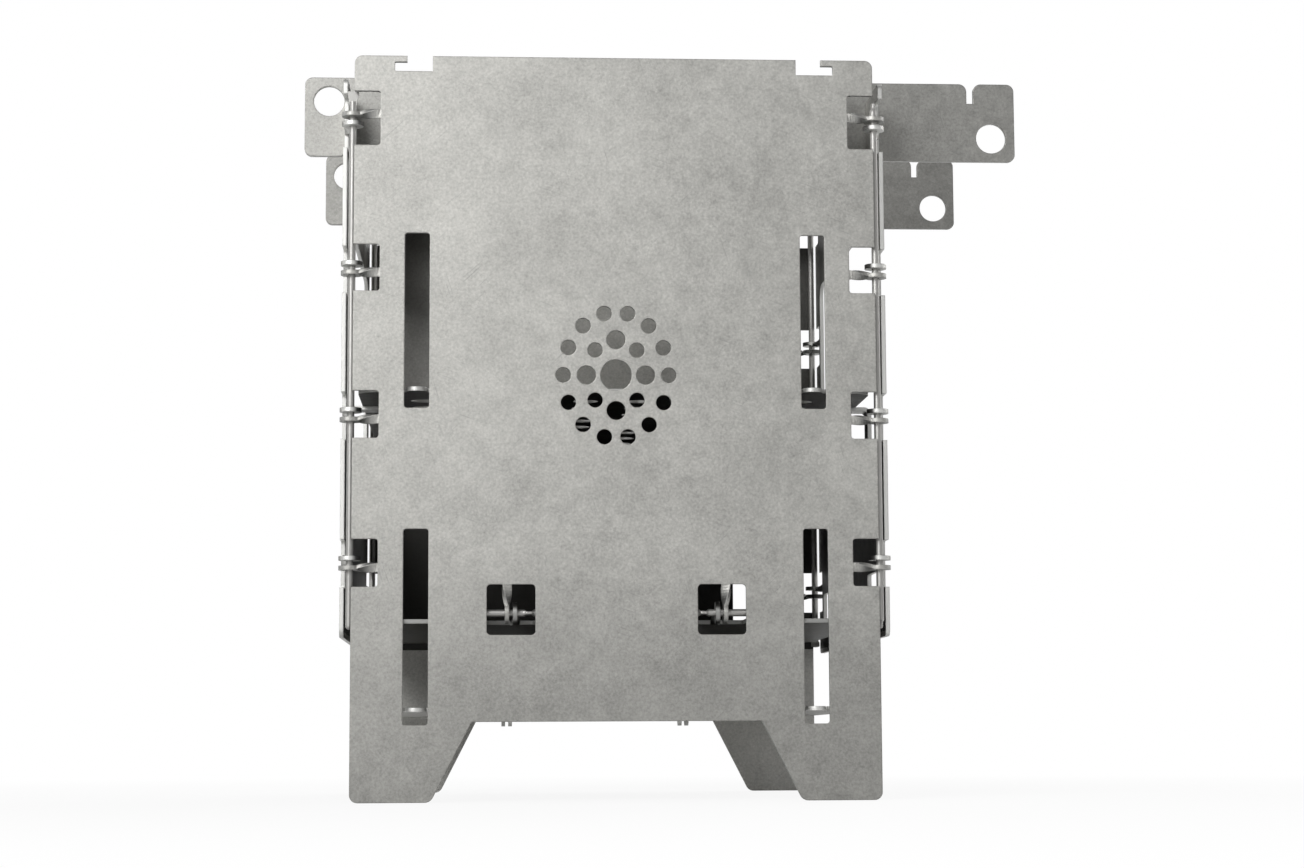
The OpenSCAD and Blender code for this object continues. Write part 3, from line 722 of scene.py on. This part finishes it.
def studio_world():
    """White to the camera, dimmer in steel and darkest at its sides, grey as a light."""
    world = bpy.data.worlds.new("studio")
    bpy.context.scene.world = world
    world.use_nodes = True
    tree = world.node_tree
    tree.nodes.clear()
    path = add_node(tree, "ShaderNodeLightPath", (-800, 200)).outputs
    sideways = add_node(tree, "ShaderNodeSeparateXYZ", (-1000, -150))
    feed(tree, sideways.inputs, Vector=coordinates(tree, (-1200, -150))["Generated"])
    from_middle = math_node(tree, "ABSOLUTE", (sideways.outputs["X"],), (-800, -150))
    flags = range_node(tree, from_middle, FLAG_START, FLAG_FULL, (-600, -150), to=(1.0, FLAG_SHARE))
    glossy = math_node(tree, "MULTIPLY", (path["Is Glossy Ray"], AIR_IN_STEEL), (-600, 50))
    glossy = math_node(tree, "MULTIPLY", (glossy, flags), (-450, 0))
    seen = math_node(tree, "MAXIMUM", (path["Is Camera Ray"], glossy), (-400, 150))
    seen = math_node(tree, "MAXIMUM", (seen, path["Is Transmission Ray"]), (-200, 150))
    matt = math_node(tree, "MULTIPLY", (path["Is Diffuse Ray"], AIR_AS_LIGHT), (-200, 0))
    air = add_node(tree, "ShaderNodeBackground", (200, 150))
    feed(tree, air.inputs, Color=(1.0, 1.0, 1.0, 1.0),
         Strength=math_node(tree, "MAXIMUM", (seen, matt), (0, 150)))
    out = add_node(tree, "ShaderNodeOutputWorld", (400, 150))
    feed(tree, out.inputs, Surface=air.outputs["Background"])
    return world


print("World has", len(studio_world().node_tree.nodes), "nodes")

# %% [markdown]
# ## Soft lamps
# A large soft key lamp at the upper left gives the front wall its slow fall of
# light from left to right, and a small fill keeps the right side from going
# dark. One lamp behind and one on each side light the walls that the
# photograph doesn't show, so that they look the same steel from there.

# %% Lamps
LAMP_AIM = (0.0, -0.05, 0.11)
# Each lamp: its place and the side of its square in metres, and its power in watts.
LAMPS = {
    "key": ((-0.65, -1.1, 0.68), 0.7, 12.8),
    "fill": ((0.9, -1.2, 0.45), 0.35, 1.0),
    "back": ((0.7, 1.4, 0.9), 1.1, 14.0),
    "right": ((1.6, 0.35, 0.7), 0.9, 7.0),
    "left": ((-1.6, 0.35, 0.7), 0.9, 5.0),
}


def soft_lamp(name, at, size, power):
    """A square area lamp that faces the stove."""
    light = bpy.data.lights.new(name, "AREA")
    light.shape = "SQUARE"
    light.size = size
    light.energy = power
    lamp = bpy.data.objects.new(name, light)
    lamp.location = at
    lamp.rotation_euler = (Vector(LAMP_AIM) - Vector(at)).to_track_quat("-Z", "Y").to_euler()
    bpy.context.scene.collection.objects.link(lamp)


for lamp_name, lamp in LAMPS.items():
    soft_lamp(lamp_name, *lamp)
print("Lamps:", ", ".join(LAMPS))

# %% [markdown]
# ## Camera
# The camera stands low and a little left of the middle, tipped up, so that the
# wall's lines close in towards the top as in the photograph. Its place and
# lens were worked out from the corners of the wall, its slots and the bars.

# %% Camera
FRAME_WIDE = 1304
CAMERA_AT = (-35.5 * MM, -795.2 * MM, 15.8 * MM)
CAMERA_YAW = math.radians(3.60)
CAMERA_PITCH = math.radians(6.635)
CAMERA_ROLL = math.radians(-0.29)
FOCAL_PIXELS = 2651.6
camera_data = bpy.data.cameras.new("photo_camera")
camera_data.sensor_width = 36.0
camera_data.lens = FOCAL_PIXELS / FRAME_WIDE * camera_data.sensor_width
camera_data.clip_start = 0.01
camera = bpy.data.objects.new("photo_camera", camera_data)
bpy.context.scene.collection.objects.link(camera)
aim = (Matrix.Rotation(-CAMERA_YAW, 4, "Z") @ Matrix.Rotation(math.pi / 2 + CAMERA_PITCH, 4, "X")
       @ Matrix.Rotation(CAMERA_ROLL, 4, "Z"))
camera.matrix_world = Matrix.Translation(CAMERA_AT) @ aim
bpy.context.scene.camera = camera
bpy.context.scene.view_settings.view_transform = "Standard"
print("Lens", round(camera_data.lens, 2), "mm")
